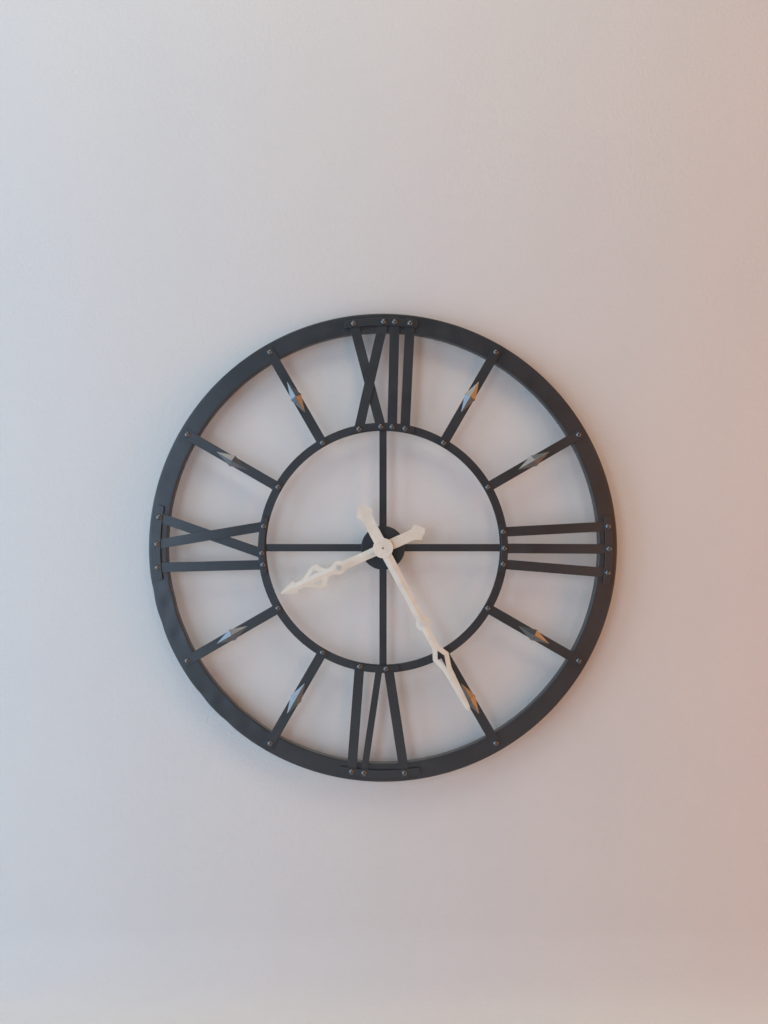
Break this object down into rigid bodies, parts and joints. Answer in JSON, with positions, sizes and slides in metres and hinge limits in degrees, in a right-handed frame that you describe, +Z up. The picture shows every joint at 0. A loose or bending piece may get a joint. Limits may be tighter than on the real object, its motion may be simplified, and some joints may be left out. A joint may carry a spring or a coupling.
{
  "type": "wall clock",
  "caption": "Round skeleton wall clock: riveted flat-bar rings with bar Roman numerals, pressed sheet hands and a quartz movement behind a centre disc.",
  "frame": {"origin": "where the dial's axis meets the wall plane, which is the plane of the rubber bumpers' faces", "axes": "+Z up through twelve, +Y into the wall along the dial's axis, +X towards three; the dial faces -Y"},
  "size_m": [0.7999, 0.0435, 0.8],
  "materials": {
    "frame_paint": "satin charcoal powder coat on sheet and flat bar",
    "diamond_paint": "satin charcoal coat, a little smoother",
    "rivet_paint": "semi-gloss black on round rivet heads",
    "hand_cream": "satin cream enamel",
    "bracket_zinc": "zinc plated",
    "bumper_rubber": "matt moulded rubber",
    "case_plastic": "black moulded ABS, fine spark texture",
    "wheel_plastic": "natural acetal",
    "nut_brass": "turned",
    "battery_sleeve": "plain shrink sleeve",
    "contact_steel": "nickel plated spring steel and laminations",
    "magnet_steel": "sintered",
    "board_laminate": "solder resist",
    "coil_copper": "enamelled copper wire"
  },
  "bodies": {
    "frame": {"outer_ring": "frame_paint", "inner_ring": "frame_paint", "hour_diamonds": "diamond_paint", "cross_bar_vertical": "frame_paint", "cross_bar_horizontal": "frame_paint", "centre_disc": "frame_paint", "bar_rivets": "rivet_paint", "numeral_rivets": "rivet_paint", "hanger_bracket": "bracket_zinc", "wall_bumpers": "bumper_rubber", "movement_housing": "case_plastic", "movement_cover": "case_plastic", "movement_washer": "bumper_rubber", "movement_nut": "nut_brass", "battery_cell": "battery_sleeve", "battery_contacts": "contact_steel", "circuit_board": "board_laminate", "stator": "contact_steel", "coil": "coil_copper", "hour_bar_1": "frame_paint", "hour_bar_2": "frame_paint", "hour_bar_4": "frame_paint", "hour_bar_5": "frame_paint", "hour_bar_7": "frame_paint", "hour_bar_8": "frame_paint", "hour_bar_10": "frame_paint", "hour_bar_11": "frame_paint", "twelve_x_left": "frame_paint", "twelve_x_right": "frame_paint", "twelve_i_left": "frame_paint", "twelve_i_right": "frame_paint", "three_i_upper": "frame_paint", "three_i_middle": "frame_paint", "three_i_lower": "frame_paint", "six_v_thick": "frame_paint", "six_v_thin": "frame_paint", "six_i_bar": "frame_paint", "nine_i_bar": "frame_paint", "nine_x_front": "frame_paint", "nine_x_rear": "frame_paint", "twelve_outer_strap": "frame_paint", "twelve_inner_strap": "frame_paint", "three_outer_strap": "frame_paint", "three_inner_strap": "frame_paint", "six_outer_strap": "frame_paint", "six_inner_strap": "frame_paint", "nine_outer_strap": "frame_paint", "nine_inner_strap": "frame_paint"},
    "minute_works": {"minute_wheel": "wheel_plastic", "minute_hand_collet": "nut_brass", "minute_hand": "hand_cream"},
    "hour_works": {"hour_wheel": "wheel_plastic", "hour_hand_collet": "nut_brass", "hour_hand": "hand_cream"},
    "motion_works": {"motion_wheel": "wheel_plastic"},
    "third_works": {"third_wheel": "wheel_plastic"},
    "second_works": {"second_wheel": "wheel_plastic"},
    "intermediate_works": {"intermediate_wheel": "wheel_plastic"},
    "rotor_works": {"rotor": "magnet_steel"},
    "knob_works": {"setting_knob": "case_plastic"}
  },
  "joints": [
    {"name": "minute_turn", "type": "hinge", "parent": "frame", "child": "minute_works", "pos_m": [0, -0.02, 0], "axis": [0, 1, 0], "continuous": true},
    {"name": "hour_turn", "type": "hinge", "parent": "frame", "child": "hour_works", "pos_m": [0, -0.02, 0], "axis": [0, 1, 0], "continuous": true},
    {"name": "motion_turn", "type": "hinge", "parent": "frame", "child": "motion_works", "pos_m": [0.00789, -0.02, -0.00287], "axis": [0, 1, 0], "continuous": true},
    {"name": "third_turn", "type": "hinge", "parent": "frame", "child": "third_works", "pos_m": [-0.00781, -0.02, 0.00656], "axis": [0, 1, 0], "continuous": true},
    {"name": "second_turn", "type": "hinge", "parent": "frame", "child": "second_works", "pos_m": [0, -0.02, 0], "axis": [0, 1, 0], "continuous": true},
    {"name": "intermediate_turn", "type": "hinge", "parent": "frame", "child": "intermediate_works", "pos_m": [0.00625, -0.02, 0.00745], "axis": [0, 1, 0], "continuous": true},
    {"name": "rotor_turn", "type": "hinge", "parent": "frame", "child": "rotor_works", "pos_m": [0.01447, -0.02, 0.01044], "axis": [0, 1, 0], "continuous": true},
    {"name": "knob_turn", "type": "hinge", "parent": "frame", "child": "knob_works", "pos_m": [0.01517, -0.02, 0.00133], "axis": [0, 1, 0], "continuous": true}
  ],
  "couplings": [
    {"joint": "hour_turn", "follows": "minute_turn", "ratio": 0.083333},
    {"joint": "motion_turn", "follows": "minute_turn", "ratio": -0.33333},
    {"joint": "third_turn", "follows": "minute_turn", "ratio": -7.5},
    {"joint": "second_turn", "follows": "minute_turn", "ratio": 60},
    {"joint": "intermediate_turn", "follows": "minute_turn", "ratio": -300},
    {"joint": "rotor_turn", "follows": "minute_turn", "ratio": 1800},
    {"joint": "knob_turn", "follows": "minute_turn", "ratio": 1}
  ]
}
